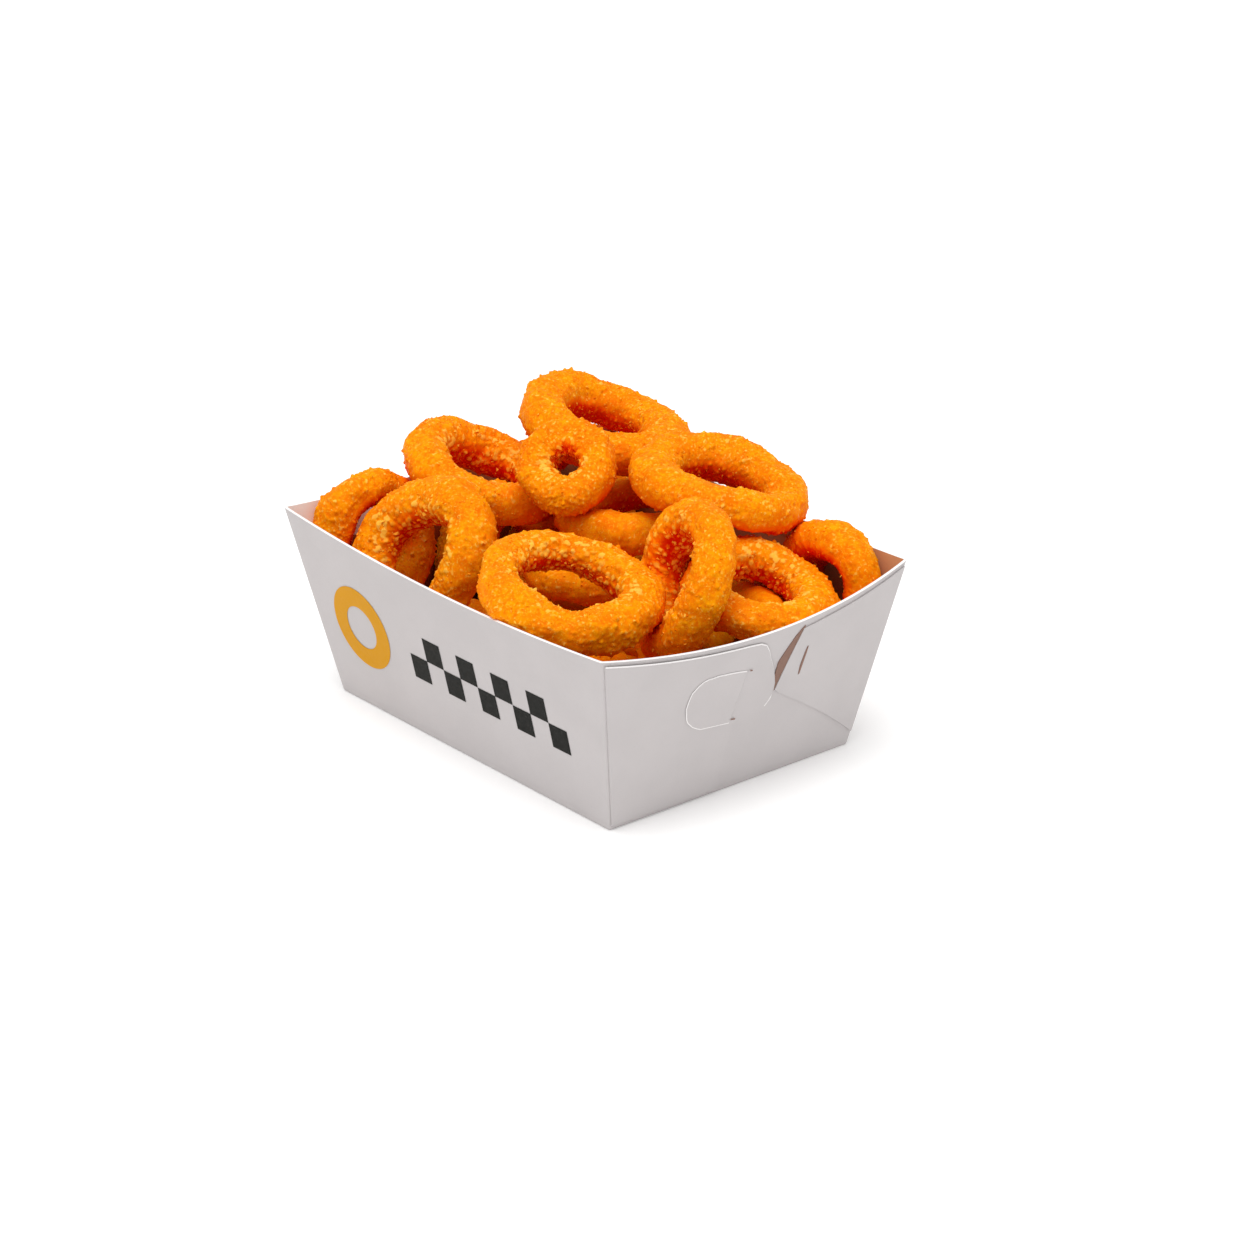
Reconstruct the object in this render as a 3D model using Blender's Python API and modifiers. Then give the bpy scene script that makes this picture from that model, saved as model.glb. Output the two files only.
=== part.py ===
"""A folded paperboard food tray heaped with breaded onion rings.

The tray stands on the XY plane with its origin under the middle of its floor.
Its long walls face -Y and +Y, and its short end walls, with their lock flaps,
face -X and +X. Every onion ring is an object of its own.
"""

import math
import random

import bmesh
import bpy
import numpy as np
from mathutils import Matrix, Vector

# Tray, in metres; a pair gives the end walls' value, then the long walls'
TRAY_HEIGHT = 0.064
TOP_HALF = (0.080, 0.062)
BASE_HALF = (0.068, 0.049)
BOW = (0.008, 0.002)
DIP = (0.0055, 0.003)
BOARD = 0.0008
RIM_CUTS = 11
RISE_CUTS = 3

# Flaps on an end wall: along it from -1 to 1, with lower and upper limits as shares of the rim's height
FRONT_FLAP = (
    (-0.985, 0.03, 0.975),
    (-0.75, 0.03, 0.972),
    (-0.50, 0.03, 0.968),
    (-0.30, 0.03, 0.965),
    (-0.145, 0.03, 0.960),
    (-0.135, 0.455, 0.960),
    (-0.06, 0.460, 0.950),
    (-0.02, 0.470, 0.930),
    (0.02, 0.480, 0.860),
    (0.07, 0.500, 0.770),
    (0.11, 0.560, 0.680),
    (0.125, 0.620, 0.620),
)
TONGUE = (
    (-0.500, 0.640, 0.640),
    (-0.480, 0.560, 0.710),
    (-0.440, 0.520, 0.760),
    (-0.360, 0.480, 0.800),
    (-0.240, 0.470, 0.810),
    (-0.141, 0.480, 0.800),
    (-0.104, 0.790, 0.790),
)
BACK_FLAP = (
    (0.140, 0.595, 0.595),
    (0.185, 0.560, 0.780),
    (0.235, 0.530, 0.950),
    (0.40, 0.430, 0.960),
    (0.60, 0.310, 0.965),
    (0.80, 0.190, 0.970),
    (0.985, 0.080, 0.975),
)
# Each flap's outline, how far it stands off the wall and how far its back sinks into the board
FLAPS = (
    (FRONT_FLAP, 0.0008, 0.0003),
    (TONGUE, 0.0015, 0.0005),
    (BACK_FLAP, 0.0006, 0.0003),
)

# Onion rings
AROUND = 28
ACROSS = 8
OVAL = 0.04
LOPSIDED = 0.03
WARP = 0.0010
THICK_AND_THIN = 0.07
CRAG = 0.0004

# Heap rules, in metres
GAP = 0.0006
SAMPLES = 32
MOST_STEPS = 300
STEP_SHARE = 1.0
TURN_SHARE = 0.7

# One row for each ring: name, outside diameter and thickness in millimetres, centre X, Y, Z in
# millimetres, tilt of its axis from upright and heading of that tilt from +X, in degrees
HEAP = (
    ("ring_top", 56, 14, -41, 40, 77, 16, 45),
    ("ring_left_high", 55, 14, -58, 3, 65, 18, 47),
    ("ring_right_high", 56, 14, 17, 40, 74, 14, 47),
    ("ring_front", 59, 14, 29, -33, 61, 18, 14),
    ("ring_right_low", 51, 14, 57, 25, 54, 17, 19),
    ("ring_right_leaning", 53, 14, 47, 0, 63, 68, 242),
    ("ring_left_leaning", 54, 14, -39, -39, 53, 55, 273),
    ("ring_left_wall", 47, 13, -70, -34, 48, 75, 359),
    ("ring_small", 33, 12, -19, 6, 79, 44, 295),
    ("ring_back_left_high", 47, 12, -58, 38, 54, 30, 277),
    ("ring_middle_high", 51, 13, -11, 26, 60, 5, 205),
    ("ring_middle", 49, 13, -13, 12, 46, 10, 51),
    ("ring_back_wall", 43, 13, 56, 52, 50, 76, 271),
    ("ring_back_left", 47, 12, -52, 35, 37, 21, 252),
    ("ring_low_left", 51, 12, -41, -11, 23, 24, 116),
    ("ring_low_front", 51, 12, 13, -24, 23, 1, 103),
    ("ring_low_right", 50, 12, 43, 15, 36, 31, 260),
    ("ring_low_back", 48, 12, 2, 27, 24, 13, 26),
    ("ring_low_back_left", 48, 12, -48, 19, 23, 25, 117),
    ("ring_low_corner", 46, 12, 51, -30, 28, 30, 0),
    ("ring_floor_front_left", 51, 12, -33, -24, 9, 2, 31),
    ("ring_floor_front_right", 51, 12, 19, -23, 9, 0, 98),
    ("ring_floor_back_left", 51, 12, -8, 23, 9, 1, 181),
    ("ring_floor_back_right", 51, 12, 44, 22, 12, 12, 174),
    ("ring_under_left_high", 41, 12, -59, -1, 44, 60, 229),
)


def clear_scene():
    for obj in list(bpy.data.objects):
        bpy.data.objects.remove(obj, do_unlink=True)


def new_collection(name):
    collection = bpy.data.collections.new(name)
    bpy.context.scene.collection.children.link(collection)
    return collection


def make_material(name, colour, roughness):
    material = bpy.data.materials.new(name)
    material.use_nodes = True
    shader = material.node_tree.nodes["Principled BSDF"]
    shader.inputs["Base Color"].default_value = (*colour, 1.0)
    shader.inputs["Roughness"].default_value = roughness
    shader.inputs["Metallic"].default_value = 0.0
    return material


def wall_lean(side, along):
    """How far a wall moves outwards for each metre of height, at a place from -1 to 1 along it."""
    return (TOP_HALF[side] - BASE_HALF[side] + BOW[side] * (1 - along * along)) / TRAY_HEIGHT


def rim_height(side, along):
    return TRAY_HEIGHT - DIP[side] * (1 - along * along)


def wall_point(side, sign, along, up, out=0.0):
    """A point of a wall's outer face: side 0 is an end wall and side 1 a long one, up is a share of
    the rim's height there, and out is a distance off the face."""
    height = up * rim_height(side, along)
    other = 1 - side
    spread = BASE_HALF[other] + (TOP_HALF[other] - BASE_HALF[other]) * height / TRAY_HEIGHT
    point = [0.0, 0.0, height]
    point[side] = sign * (BASE_HALF[side] + wall_lean(side, along) * height + out)
    point[other] = along * spread
    return Vector(point)


def add_tray_shell(collection, material):
    """Floor and four flaring walls with bowed, dipping rims, folded from one sheet of board."""
    shape = bmesh.new()
    bmesh.ops.create_cube(shape, size=2.0)
    ends = [face for face in shape.faces if abs(face.normal.z) > 0.5]
    bmesh.ops.delete(shape, geom=ends, context="FACES_ONLY")
    level = [edge for edge in shape.edges if edge.is_boundary]
    bmesh.ops.subdivide_edges(shape, edges=level, cuts=RIM_CUTS, use_grid_fill=True)
    upright = [edge for edge in shape.edges if not edge.is_boundary]
    bmesh.ops.subdivide_edges(shape, edges=upright, cuts=RISE_CUTS, use_grid_fill=True)
    for vertex in shape.verts:
        x, y, z = vertex.co
        side = 0 if abs(x) > abs(y) else 1
        sign = math.copysign(1, (x, y)[side])
        vertex.co = wall_point(side, sign, (x, y)[1 - side], (z + 1) / 2)
    foot = [edge for edge in shape.edges if edge.is_boundary and edge.verts[0].co.z < BOARD]
    bmesh.ops.contextual_create(shape, geom=foot)
    bmesh.ops.recalc_face_normals(shape, faces=shape.faces)
    mesh = bpy.data.meshes.new("tray")
    shape.to_mesh(mesh)
    shape.free()
    tray = bpy.data.objects.new("tray", mesh)
    collection.objects.link(tray)
    mesh.materials.append(material)
    board = tray.modifiers.new("board", "SOLIDIFY")
    board.thickness = BOARD
    board.offset = -1.0
    board.use_even_offset = True
    return tray


def add_flap(tray, collection, outline, lift, sink, sign):
    """Joins a flap to the tray's end wall on the side that the sign gives."""
    spans = len(outline) - 1
    shape = bmesh.new()
    bmesh.ops.create_grid(shape, x_segments=spans, y_segments=RISE_CUTS + 1, size=1.0)
    for vertex in shape.verts:
        along, low, high = outline[round((vertex.co.x + 1) / 2 * spans)]
        up = low + (high - low) * (vertex.co.y + 1) / 2
        vertex.co = wall_point(0, sign, sign * along, up, lift)
    bmesh.ops.remove_doubles(shape, verts=shape.verts, dist=BOARD / 10)
    bmesh.ops.recalc_face_normals(shape, faces=shape.faces)
    if sum(face.normal.x for face in shape.faces) * sign < 0:
        bmesh.ops.reverse_faces(shape, faces=shape.faces)
    mesh = bpy.data.meshes.new("flap")
    shape.to_mesh(mesh)
    shape.free()
    flap = bpy.data.objects.new("flap", mesh)
    collection.objects.link(flap)
    plate = flap.modifiers.new("plate", "SOLIDIFY")
    plate.thickness = lift + sink
    plate.offset = -1.0
    flap.hide_render = True
    flap.display_type = "WIRE"
    join = tray.modifiers.new("flap", "BOOLEAN")
    join.operation = "UNION"
    join.solver = "MANIFOLD"
    join.object = flap


class Ring:
    """An uneven onion ring: its own outline, and where it lies in the heap."""

    def __init__(self, number, row):
        self.name, outside, thick, x, y, z, tilt, heading = row
        self.draw = random.Random(number)
        self.tube = thick / 2000 * self.draw.uniform(0.97, 1.05)
        self.radius = (outside - thick) / 2000
        self.oval = OVAL * self.draw.uniform(0.3, 1.0)
        self.lopsided = LOPSIDED * self.draw.uniform(0.3, 1.0)
        self.phases = [self.draw.uniform(0, math.tau) for _ in range(4)]
        self.centre = np.array((x, y, z)) / 1000
        turn = Matrix.Rotation(math.radians(heading), 3, "Z")
        self.turn = np.array(turn @ Matrix.Rotation(math.radians(tilt), 3, "Y"))

    def line(self, angle):
        """The middle of the tube at this angle: its distance from the axis and its height."""
        bulge = self.oval * math.cos(2 * angle + self.phases[0])
        bulge += self.lopsided * math.cos(3 * angle + self.phases[1])
        return self.radius * (1 + bulge), WARP * math.sin(2 * angle + self.phases[2])

    def thickness(self, angle):
        return self.tube * (1 + THICK_AND_THIN * math.cos(angle + self.phases[3]))

    def samples(self):
        """Points along the tube's middle in the ring's own frame, and the tube's radius there."""
        angles = [math.tau * i / SAMPLES for i in range(SAMPLES)]
        lines = [self.line(angle) for angle in angles]
        points = [(r * math.cos(a), r * math.sin(a), up) for a, (r, up) in zip(angles, lines)]
        return np.array(points), np.array([self.thickness(angle) for angle in angles])

    def craggy(self, place):
        """Moves one vertex of an even torus to its place on this ring."""
        angle = math.atan2(place.y, place.x)
        out, up = self.line(angle)
        swell = self.thickness(angle) + CRAG * self.draw.uniform(-1, 1)
        across = Vector((math.hypot(place.x, place.y) - self.radius, place.z)) * swell / self.tube
        out += across.x
        return Vector((out * math.cos(angle), out * math.sin(angle), up + across.y))


def wall_pushes(points, radii):
    """How each ball of this radius has to move to clear the tray's floor and walls."""
    pushes = np.zeros_like(points)
    pushes[:, 2] = np.maximum(BOARD + GAP + radii - points[:, 2], 0)
    for side in (0, 1):
        along = np.clip(points[:, 1 - side] / TOP_HALF[1 - side], -1, 1)
        lean = wall_lean(side, along)
        rim = rim_height(side, along)
        foot = BASE_HALF[side] - BOARD * np.hypot(1, lean)
        for sign in (-1, 1):
            across = sign * points[:, side]
            height = (points[:, 2] + lean * (across - foot)) / (1 + lean * lean)
            height = np.clip(height, 0, rim)
            apart = np.stack([across - foot - lean * height, points[:, 2] - height], axis=1)
            distance = np.maximum(np.linalg.norm(apart, axis=1), 1e-9)
            clear = (across < foot + lean * points[:, 2]) | (points[:, 2] > rim)
            need = np.maximum(radii + GAP - np.where(clear, distance, -distance), 0)
            way = np.where(clear, 1, -1)[:, None] * apart / distance[:, None]
            pushes[:, side] += sign * way[:, 0] * need
            pushes[:, 2] += way[:, 1] * need
    return pushes


def pair_pushes(points, radii, neighbours):
    """How each ring's balls have to move to clear the balls of its neighbours."""
    pushes = np.zeros_like(points)
    touching = np.zeros(radii.shape)
    for a, b in neighbours:
        apart = points[a][:, None] - points[b][None]
        distance = np.maximum(np.linalg.norm(apart, axis=2), 1e-9)
        need = np.maximum(radii[a][:, None] + radii[b][None] + GAP - distance, 0)
        move = apart * (need / distance / 2)[:, :, None]
        pushes[a] += move.sum(axis=1)
        pushes[b] -= move.sum(axis=0)
        touching[a] += (need > 0).sum(axis=1)
        touching[b] += (need > 0).sum(axis=0)
    return pushes, touching


def spread_apart(rings):
    """Nudges and turns the rings, a little at a time, until each is clear of the others and of the tray."""
    own, radii = (np.array(part) for part in zip(*(ring.samples() for ring in rings)))
    count = len(rings)
    for _ in range(MOST_STEPS):
        points = np.stack([p @ ring.turn.T + ring.centre for ring, p in zip(rings, own)])
        centres = points.mean(axis=1)
        reach = np.linalg.norm(points - centres[:, None], axis=2).max(axis=1) + radii.max(axis=1)
        neighbours = [
            (a, b)
            for a in range(count)
            for b in range(a)
            if np.linalg.norm(centres[a] - centres[b]) < reach[a] + reach[b]
        ]
        pushes, touching = pair_pushes(points, radii, neighbours)
        walls = wall_pushes(points.reshape(-1, 3), radii.reshape(-1)).reshape(points.shape)
        touching += np.abs(walls).max(axis=2) > 0
        pushes += walls
        if not touching.any():
            break
        for ring, push, at, hits in zip(rings, pushes, points, touching.sum(axis=1)):
            if hits == 0:
                continue
            spin = np.cross(at - ring.centre, push).sum(axis=0) * TURN_SHARE
            spin = Vector(spin / (ring.radius**2 * hits))
            ring.centre = ring.centre + push.sum(axis=0) * STEP_SHARE / hits
            ring.turn = np.array(Matrix.Rotation(spin.length, 3, spin)) @ ring.turn


def add_ring(ring, collection, material):
    bpy.ops.mesh.primitive_torus_add(
        major_segments=AROUND,
        minor_segments=ACROSS,
        major_radius=ring.radius,
        minor_radius=ring.tube,
    )
    obj = bpy.context.object
    obj.name = ring.name
    for vertex in obj.data.vertices:
        vertex.co = ring.craggy(vertex.co)
    obj.location = ring.centre
    obj.rotation_euler = Matrix(ring.turn).to_euler()
    obj.data.materials.append(material)
    for other in list(obj.users_collection):
        other.objects.unlink(obj)
    collection.objects.link(obj)


def main():
    clear_scene()
    food = new_collection("onion_rings_in_tray")
    helpers = new_collection("helpers")
    paper = make_material("paperboard", (0.80, 0.78, 0.77), 0.65)
    crust = make_material("breaded_crust", (0.85, 0.33, 0.03), 0.75)
    tray = add_tray_shell(food, paper)
    for sign in (1, -1):
        for outline, lift, sink in FLAPS:
            add_flap(tray, helpers, outline, lift, sink, sign)
    rings = [Ring(number, row) for number, row in enumerate(HEAP)]
    spread_apart(rings)
    for ring in rings:
        add_ring(ring, food, crust)


main()
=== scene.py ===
"""The looks of the onion rings in their paperboard tray.

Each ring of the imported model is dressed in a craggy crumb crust, and the tray in
white board that is brown inside, with its flaps, slots and a plain print.
"""

import itertools
import math
import random

import bmesh
import bpy
import numpy as np
from mathutils import Matrix, Vector
from mathutils.bvhtree import BVHTree

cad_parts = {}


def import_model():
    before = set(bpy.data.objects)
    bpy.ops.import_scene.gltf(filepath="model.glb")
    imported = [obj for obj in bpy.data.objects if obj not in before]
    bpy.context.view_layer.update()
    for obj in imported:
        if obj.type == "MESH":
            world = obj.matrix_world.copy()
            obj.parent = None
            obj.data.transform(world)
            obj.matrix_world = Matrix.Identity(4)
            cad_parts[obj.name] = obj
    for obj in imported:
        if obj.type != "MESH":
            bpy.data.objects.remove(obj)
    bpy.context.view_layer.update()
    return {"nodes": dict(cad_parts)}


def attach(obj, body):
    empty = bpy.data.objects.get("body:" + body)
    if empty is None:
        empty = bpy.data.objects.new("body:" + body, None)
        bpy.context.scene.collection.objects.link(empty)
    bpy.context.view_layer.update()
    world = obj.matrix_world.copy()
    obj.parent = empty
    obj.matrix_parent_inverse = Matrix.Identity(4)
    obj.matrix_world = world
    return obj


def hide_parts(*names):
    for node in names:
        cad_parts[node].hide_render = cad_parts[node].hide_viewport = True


PHOTO_SIZE = 1254

# Tray, in metres; a pair gives the end walls' value, then the long walls'
TRAY_HEIGHT = 0.064
TOP_HALF = (0.080, 0.062)
BASE_HALF = (0.068, 0.049)
BOW = (0.008, 0.002)
DIP = (0.0055, 0.003)
BOARD = 0.0008

# How much thicker the leaning board is when it is measured level
LEVEL_BOARD = 1.05

# The white outside is turned in at one top corner of each end wall: from this share of the way to the
# corner, and of the rim's height. The brown inside is painted darker downwards between two heights, in
# metres, as painted shade low in the tray
WHITE_INSIDE_FROM = (0.3, 0.8)
PAINTED_SHADE_HEIGHTS = (0.036, 0.066)

# The blank's cuts along each wall and up it, and its faint warp: depth in metres, size, fade and seed
WALL_CUTS = 47
HEIGHT_CUTS = 17
WARP = 0.00025
WARP_SIZE = 0.8
WARP_FADE = 4
WARP_SEED = 31

# Folds and welds, in metres, and the angles in degrees past which an edge is a fold or looks sharp
FOLD_WIDTH = 0.0007
FOLD_SEGMENTS = 3
FOLD_ANGLE = 30
SHARP_TRAY_ANGLE = 35
SHARP_PLATE_ANGLE = 40
WELD = 0.00002

# A face faces along an axis if at least this share of its direction does
FACING = 0.7

# Camera, as measured from the photo: degrees, metres and pixels
CAMERA_AZIMUTH = 50.2
CAMERA_ELEVATION = 23.6
CAMERA_DISTANCE = 1.524
CAMERA_AIM = (0.0113, 0.0289)
CAMERA_FOCAL_PIXELS = 4733
SENSOR_WIDTH = 36

# Studio: a broad sun, with its angles in degrees, an even sky, and a floor that glows a little
SUN_AZIMUTH = 20
SUN_ELEVATION = 78
SUN_WIDTH = 50
SUN_STRENGTH = 2.05
SKY_STRENGTH = 0.66
FLOOR_HALF = 3
FLOOR_GLOW = 0.12
FLOOR_COLOURS = ((0.93, 0.925, 0.92), (0.92, 0.915, 0.91))
WHITE = (1, 1, 1, 1)

# Light that reaches the crust, as shares: from straight up, from the sky's edge, from below, and past
# another ring that is REACH away; the crust's colour is painted darker where less reaches, as painted
# shade. Rays start LIGHT_GAP off the ring; both are in metres
SKY_TOP = 1.27
SKY_EDGE = 0.45
FROM_BELOW = 0.38
PAST_A_RING = 0.5
REACH = 0.03
LIGHT_GAP = 0.0006
LIGHT_GRID = (48, 16)
RAYS = 22
RAY_SEED = 4
SHORTEST_RAY = 0.1

# Painted shade: the walls of a ring's hole are painted darker by a share, unless FACES_UP or more of
# their direction is up
INNER_SHADE = 0.8
FACES_UP = 0.8

# Crust, in metres: how far it stands proud, and each relief's size along the surface, its height and
# what its seed adds to the ring's
CRUST_PROUD = -0.0003
SQUARENESS = 2.15
LUMPS = ((0.016, 0.0010, 0), (0.007, 0.0008, 1), (0.0032, 0.0004, 2))
CRUMBS = ((0.0015, 0.0003, 20), (0.0009, 0.00024, 30))
RIDGES = (0.0028, 0.00038, 40)
POINTED_CRUMBS = (0.0018, 0.0009, 50)
COARSE_CRUMBS = (0.0018, 0.0004, 60)

# Patches in which a relief changes: their size in metres, and what their seed adds to the ring's
ROUGH_PATCHES = (0.007, 9)
RIDGE_BREAKS = (0.0045, 41)
COARSE_PATCHES = (0.011, 70)
FLAKE_PATCHES = (0.007, 5)

# Shapes of the relief. A crumb's own number, from 0 to 1, says how high and how pale it is, and past
# which one it is pointed or coarse. CRUMB_EDGE is the square of a crumb's reach, by its size
CRUMB_EDGE = 0.45
LOWEST_CRUMB = 0.3
ON_A_CRUMB = 0.2
MEAN_ROUGHNESS = 0.8
ROUGHNESS_CHANGE = 0.7
ROUGHNESS_LIMITS = (0.3, 1.4)
RIDGE_WIDTH = 0.2
RIDGE_BREAK = 4
RIDGE_RELIEF = 0.6
# The pale tone given to ridge tops is a painted highlight
RIDGE_HIGHLIGHT = 0.9
POINT_FROM = 0.375
POINTED_NUMBER = 0.75
COARSE_NUMBER = 0.4
COARSE_STEEPNESS = 1.8
COARSE_EDGE = 0.3
COARSE_BY_PATCH = 1.5
COARSE_INWARDS = 1.6
COARSE_ANYWHERE = 0.1
PALE_TONE = 0.55

COARSE_RINGS = (
    "ring_front",
    "ring_right_low",
    "ring_right_leaning",
    "ring_left_leaning",
    "ring_left_high",
    "ring_small",
)

# Loose crumbs, or flakes: lengths in metres, how many for each square metre, and how far they rise
FLAKE_LENGTHS = (0.0006, 0.0014)
COARSE_FLAKE_LENGTHS = (0.0012, 0.0027)
FLAKES_PER_AREA = 300000
COARSE_FLAKES_PER_AREA = 90000
FLAKE_RISE = 0.0001

# A flake's half length, half width and half thickness, how much each changes, how far its corners
# stray and how much it tilts, as shares of its length. A higher power makes more of them short
FLAKE_SIZES = (0.5, 0.36, 0.26)
FLAKE_CHANGE = (0.6, 1.3)
FLAKE_STRAY = 0.12
FLAKE_TILT = 0.3
FLAKE_SHORTNESS = 2.5

# Flakes are kept in patches, and the coarse ones on the ring's inner side, with limits drawn from these
FLAKES_KEPT = (-0.7, 0.5)
INNER_FLAKES_KEPT = (-0.7, 0.3)

# A flake's corners are the two ends of its length, of its width and of its thickness
FLAKE_FACES = ((0, 2, 4), (2, 1, 4), (1, 3, 4), (3, 0, 4), (2, 0, 5), (1, 2, 5), (3, 1, 5), (0, 3, 5))
FLAKE_CORNERS = 6

# Room for the crust, in metres: off the board, the most there is between rings, and the least that a
# flake needs
CLEAR_OF_BOARD = 0.0002
MOST_ROOM = 0.004
FLAKE_ROOM = 0.0005
ROOM_GRID = (96, 32)

# How finely each ring is made: points around it and across it
SHOWN = (324, 100)
PARTLY_SHOWN = (200, 64)
HIDDEN = (110, 36)
SHOWN_RINGS = (
    "ring_top",
    "ring_left_high",
    "ring_right_high",
    "ring_front",
    "ring_right_low",
    "ring_right_leaning",
    "ring_left_leaning",
    "ring_left_wall",
    "ring_small",
)
PARTLY_SHOWN_RINGS = (
    "ring_back_wall",
    "ring_middle_high",
    "ring_middle",
    "ring_back_left_high",
    "ring_under_left_high",
)

# From one ring's seed to the next
SEED_STEP = 100

# Crust colours: the open surface, then its crumbs, then low and high places in painted half and full shade
ORANGE = (0.93, 0.25, 0.0005)
GOLDEN = (0.94, 0.335, 0.001)
BROWNER = (0.84, 0.17, 0.001)
# The next colour is painted shade: the low places between crumbs are painted darker
VALLEY_SHADE = (0.86, 0.145, 0.001)
MOTTLE = (0.84, 0.15, 0.001)
GRAIN = (1.0, 0.48, 0.025)
# The pale crumbs that follow are partly their own paler colour and partly painted highlights, as they are
# shown only on raised places
PALE = (1.0, 0.58, 0.09)
LOOSE = (1.0, 0.50, 0.05)
HALF_SHADE = ((0.94, 0.15, 0.0003), (0.97, 0.31, 0.002))
DEEP_SHADE = ((0.72, 0.012, 0.0001), (0.94, 0.20, 0.002))

# Boards and inks: colour, colour of their fibres, roughness and, for the brown one, its colour low down
# inside the tray, which is painted shade
BOARDS = {
    "white_board": ((0.563, 0.530, 0.528), (0.52, 0.488, 0.483), 0.55),
    "brown_board": ((0.60, 0.30, 0.15), (0.50, 0.25, 0.12), 0.75, (0.32, 0.04, 0.004)),
    # The slot shade is the brown board seen in the slits and notches, darkened as painted shade of their gaps
    "slot_shade": ((0.27, 0.165, 0.13), (0.18, 0.11, 0.09), 0.8),
    "cut_edge": ((0.90, 0.87, 0.86), (0.82, 0.79, 0.77), 0.7),
    "gold_ink": ((0.66, 0.30, 0.008), (0.60, 0.27, 0.01), 0.5),
    "black_ink": ((0.010, 0.010, 0.008), (0.02, 0.02, 0.018), 0.45),
}
MOTTLED_BOARD = 0.965
ROUGHNESS_SPAN = 0.06

# Flaps on an end wall: along it from -1 to 1, with lower and upper limits as shares of the rim's height
FRONT_FLAP = (
    (-0.985, 0.03, 0.975),
    (-0.75, 0.03, 0.972),
    (-0.50, 0.03, 0.968),
    (-0.30, 0.03, 0.965),
    (-0.145, 0.03, 0.960),
    (-0.135, 0.455, 0.960),
    (-0.06, 0.460, 0.952),
    (-0.02, 0.470, 0.930),
    (0.01, 0.476, 0.885),
    (0.035, 0.485, 0.830),
    (0.07, 0.500, 0.765),
    (0.10, 0.535, 0.700),
    (0.118, 0.575, 0.650),
    (0.122, 0.610, 0.612),
)
TONGUE = (
    (-0.496, 0.645, 0.652),
    (-0.484, 0.578, 0.705),
    (-0.471, 0.555, 0.742),
    (-0.436, 0.522, 0.780),
    (-0.404, 0.505, 0.803),
    (-0.375, 0.493, 0.811),
    (-0.303, 0.489, 0.817),
    (-0.220, 0.483, 0.812),
    (-0.168, 0.479, 0.806),
    (-0.150, 0.560, 0.803),
    (-0.133, 0.667, 0.800),
    (-0.119, 0.785, 0.797),
)
BACK_FLAP = (
    (0.140, 0.595, 0.600),
    (0.185, 0.560, 0.780),
    (0.235, 0.530, 0.950),
    (0.40, 0.430, 0.960),
    (0.60, 0.310, 0.965),
    (0.80, 0.190, 0.970),
    (0.985, 0.080, 0.975),
)
SLIT = (
    (0.110, 0.690, 0.775),
    (0.120, 0.560, 0.797),
    (0.141, 0.610, 0.836),
    (0.160, 0.685, 0.868),
    (0.191, 0.793, 0.919),
    (0.225, 0.881, 0.955),
    (0.243, 0.960, 0.966),
)
BACK_SLIT = (
    (0.290, 0.690, 0.710),
    (0.296, 0.640, 0.775),
    (0.303, 0.645, 0.812),
    (0.310, 0.770, 0.815),
)

# Each plate's outline, its inner and outer face's distance off the wall and its end's curl, in metres,
# and its board
PLATES = {
    "front_flap": (FRONT_FLAP, 0.0001, 0.0006, 0.0003, "white_board"),
    "tongue": (TONGUE, 0.0006, 0.0009, 0.0, "white_board"),
    "back_flap": (BACK_FLAP, 0.0001, 0.0006, 0.0, "white_board"),
    # The slits are sheets of painted shade over the gaps beside the flaps, partly the brown board seen there
    "slit": (SLIT, 0.0001, 0.0004, 0.0, "slot_shade"),
    "back_slit": (BACK_SLIT, 0.0006, 0.0008, 0.0, "slot_shade"),
}
PLATE_ROWS = 10
CURL_REACH = 0.35
STEPS = 6

# Lines where the board was cut or folded, and the notches at the ends of the tongue's slot: places
# along the end wall and up it. The tongue's cut leaves out its root, where its lower edge is the fold
TONGUE_CUT = tuple((along, high) for along, _, high in TONGUE[::-1]) + tuple(
    (along, low) for along, low, _ in TONGUE[:9]
)
FLAP_CUT = tuple((along, high) for along, _, high in FRONT_FLAP) + ((0.119, 0.549), (0.088, 0.508))
FOLD = ((-0.119, 0.798), (-0.133, 0.667), (-0.154, 0.556), (-0.163, 0.506))
NOTCHES = (((-0.105, 0.800), (-0.088, 0.796)), ((-0.165, 0.500), (-0.131, 0.495)))

# Each line's path, its distance off the wall in metres, and its board
LINES = {
    "tongue_cut": (TONGUE_CUT, 0.0008, "cut_edge"),
    "flap_cut": (FLAP_CUT, 0.0006, "cut_edge"),
    "fold": (FOLD, 0.0009, "white_board"),
}
NOTCH_OUT = 0.0011
LINE_WIDTH = 0.0005
LINE_RISE = 0.3

# The print on the long wall that faces -Y: a gold ring and a band of black squares, in metres
PRINT_LIFT = 0.00012
GOLD_RING = {"x": -0.0475, "z": 0.0310, "inner": 0.0075, "outer": 0.0145, "bands": 4, "sides": 64}
SQUARES = {"x": -0.0215, "z": 0.0225, "side": 0.0086, "columns": 9, "rows": 2, "parts": 3}

# Places of the brown inside and of the cut edge in the blank's materials, after its white outside
INSIDE, CUT = 1, 2

# Places of the colour sockets of a mix node, and of its result
MIX_SHARE, MIX_FIRST, MIX_SECOND = 0, 6, 7
MIX_RESULT = 2

# Whole numbers that scatter the bits of a cell's number
CELL_PRIMES = (73856093, 19349663, 83492791)
SEED_PRIME = 7919
BIT_MIXER = 1274126177
LOW_BITS = 0xFFFFFF
FIRST_SHIFT = 13
SECOND_SHIFT = 16


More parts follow.
